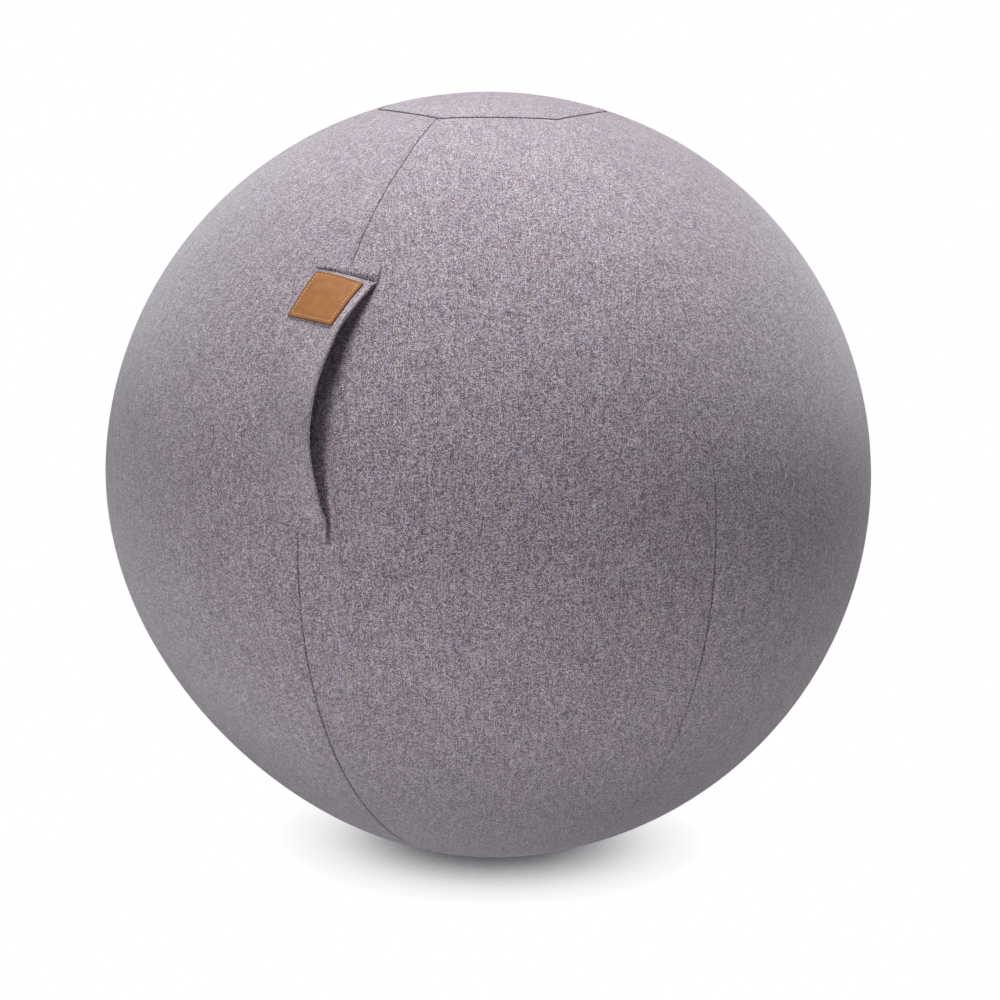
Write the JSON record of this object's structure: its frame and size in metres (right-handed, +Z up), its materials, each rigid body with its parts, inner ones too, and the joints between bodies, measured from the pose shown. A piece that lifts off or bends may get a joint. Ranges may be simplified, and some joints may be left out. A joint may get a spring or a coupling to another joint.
{
  "type": "sitting ball",
  "caption": "Inflated sitting ball in a zipped fabric cover of gores with end panels, a hand strap on one seam and a flat to stand on.",
  "frame": {"origin": "middle of the flat on which the ball stands", "axes": "+Z up, -Y towards the seam with the hand strap, +Y towards the zip"},
  "size_m": [0.65, 0.6723, 0.6469],
  "materials": {
    "cover_fabric": "grey-mauve melange weave",
    "patch_leather": "smooth tan leather",
    "lining_cloth": "plain woven lining",
    "zip_tape": "woven polyester tape",
    "zip_nylon": "nylon coil",
    "zip_metal": "satin die-cast metal",
    "inner_vinyl": "soft vinyl",
    "valve_plastic": "moulded soft plastic",
    "plug_plastic": "moulded plastic"
  },
  "bodies": {
    "ball": {"top_panel": "cover_fabric", "base_panel": "cover_fabric", "gore_front_right": "cover_fabric", "gore_right": "cover_fabric", "gore_back_right": "cover_fabric", "gore_back_left": "cover_fabric", "gore_left": "cover_fabric", "gore_front_left": "cover_fabric", "strap_top_tab": "cover_fabric", "strap_upper_leg": "cover_fabric", "strap_lower_leg": "cover_fabric", "strap_bottom_tab": "cover_fabric", "leather_patch": "patch_leather", "strap_backing_top": "lining_cloth", "strap_backing_bottom": "lining_cloth", "zip_tape_right": "zip_tape", "zip_tape_left": "zip_tape", "zip_coil_right": "zip_nylon", "zip_coil_left": "zip_nylon", "zip_top_stop": "zip_metal", "zip_bottom_stop": "zip_metal", "inner_ball": "inner_vinyl", "valve_seat": "valve_plastic", "valve_plug": "plug_plastic"},
    "handle": {"strap_grip": "cover_fabric"},
    "slider": {"zip_slider": "zip_metal"},
    "pull": {"zip_pull": "zip_metal"}
  },
  "joints": [
    {"name": "handle_lift", "type": "slide", "parent": "ball", "child": "handle", "axis": [0, -0.9306, 0.3661], "range_m": [-0.006, 0.003], "stiffness_N_per_m": 60, "deforming": ["strap_upper_leg", "strap_lower_leg", "leather_patch"]},
    {"name": "zip_travel", "type": "hinge", "parent": "ball", "child": "slider", "pos_m": [0, 0, 0.32187], "axis": [-1, 0, 0], "range_deg": [0, 70]},
    {"name": "pull_swing", "type": "hinge", "parent": "slider", "child": "pull", "pos_m": [0, 0.32438, 0.36769], "axis": [1, 0, 0], "range_deg": [0, 170]}
  ]
}
